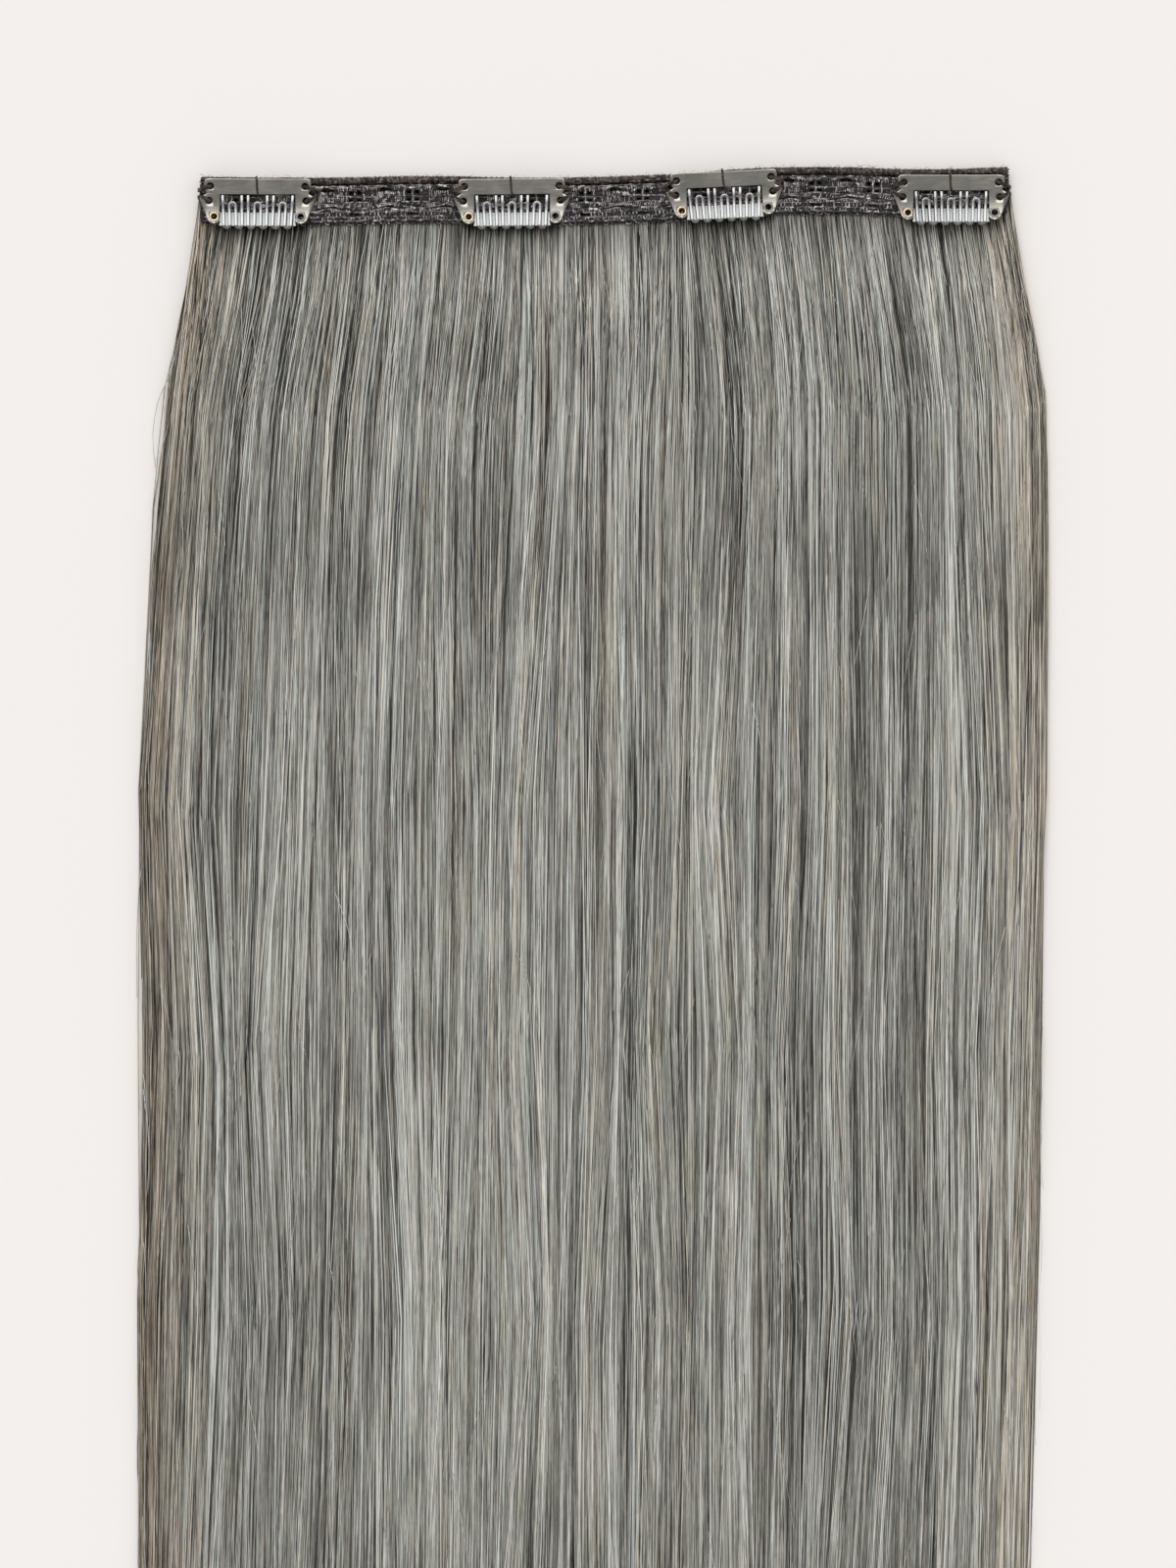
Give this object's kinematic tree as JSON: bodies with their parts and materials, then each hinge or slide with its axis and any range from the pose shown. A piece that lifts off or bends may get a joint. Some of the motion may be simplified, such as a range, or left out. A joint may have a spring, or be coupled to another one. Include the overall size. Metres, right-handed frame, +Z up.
{
  "type": "clip in hair extension",
  "caption": "Long straight hair weft under a rolled seam and a pierced lace band, with metal snap combs sewn along the band that click shut over the wearer's own hair.",
  "frame": {"origin": "middle of the base of the whole weft as it lies face up on a flat surface", "axes": "+X along the band, to the right in the picture; +Y from the hair's ends towards the band; +Z up, on the clips' side"},
  "size_m": [0.2518, 0.5, 0.0074],
  "materials": {
    "hair": "straight silver-grey hair with light and dark strands, soft sheen",
    "seam": "rolled thread-bound seam, near black, matte",
    "lace": "dark taupe lace ribbon, matte",
    "clip_plate": "satin gunmetal",
    "comb": "satin gunmetal, brighter where it is bent",
    "grip_strip": "bright smooth steel",
    "eyelet_brass": "pale brass, smooth",
    "eyelet_grey": "dark grey satin"
  },
  "bodies": {
    "weft": {"hair_fall": "hair", "weft_seam": "seam", "lace_band": "lace", "clip_1_plate": "clip_plate", "clip_1_grip_strip": "grip_strip", "clip_1_eyelet_left": "eyelet_brass", "clip_1_eyelet_right": "eyelet_grey", "clip_2_plate": "clip_plate", "clip_2_grip_strip": "grip_strip", "clip_2_eyelet_left": "eyelet_brass", "clip_2_eyelet_right": "eyelet_grey", "clip_3_plate": "clip_plate", "clip_3_grip_strip": "grip_strip", "clip_3_eyelet_left": "eyelet_brass", "clip_3_eyelet_right": "eyelet_grey", "clip_4_plate": "clip_plate", "clip_4_grip_strip": "grip_strip", "clip_4_eyelet_left": "eyelet_brass", "clip_4_eyelet_right": "eyelet_grey"},
    "clip_1_comb": {"clip_1_comb_left": "comb", "clip_1_comb_middle": "comb", "clip_1_comb_right": "comb"},
    "clip_2_comb": {"clip_2_comb_left": "comb", "clip_2_comb_middle": "comb", "clip_2_comb_right": "comb"},
    "clip_3_comb": {"clip_3_comb_left": "comb", "clip_3_comb_middle": "comb", "clip_3_comb_right": "comb"},
    "clip_4_comb": {"clip_4_comb_left": "comb", "clip_4_comb_middle": "comb", "clip_4_comb_right": "comb"}
  },
  "joints": [
    {"name": "clip_1_snap", "type": "hinge", "parent": "weft", "child": "clip_1_comb", "pos_m": [-0.09247, 0.24172, 0.00558], "axis": [-1, 0.0052, 0], "range_deg": [0, 45]},
    {"name": "clip_2_snap", "type": "hinge", "parent": "weft", "child": "clip_2_comb", "pos_m": [-0.02224, 0.24175, 0.00558], "axis": [-0.9999, -0.0105, 0], "range_deg": [0, 45]},
    {"name": "clip_3_snap", "type": "hinge", "parent": "weft", "child": "clip_3_comb", "pos_m": [0.03637, 0.24381, 0.00558], "axis": [-0.999, -0.0454, 0], "range_deg": [0, 45]},
    {"name": "clip_4_snap", "type": "hinge", "parent": "weft", "child": "clip_4_comb", "pos_m": [0.0991, 0.24283, 0.00558], "axis": [-1, 0, 0], "range_deg": [0, 45]}
  ]
}
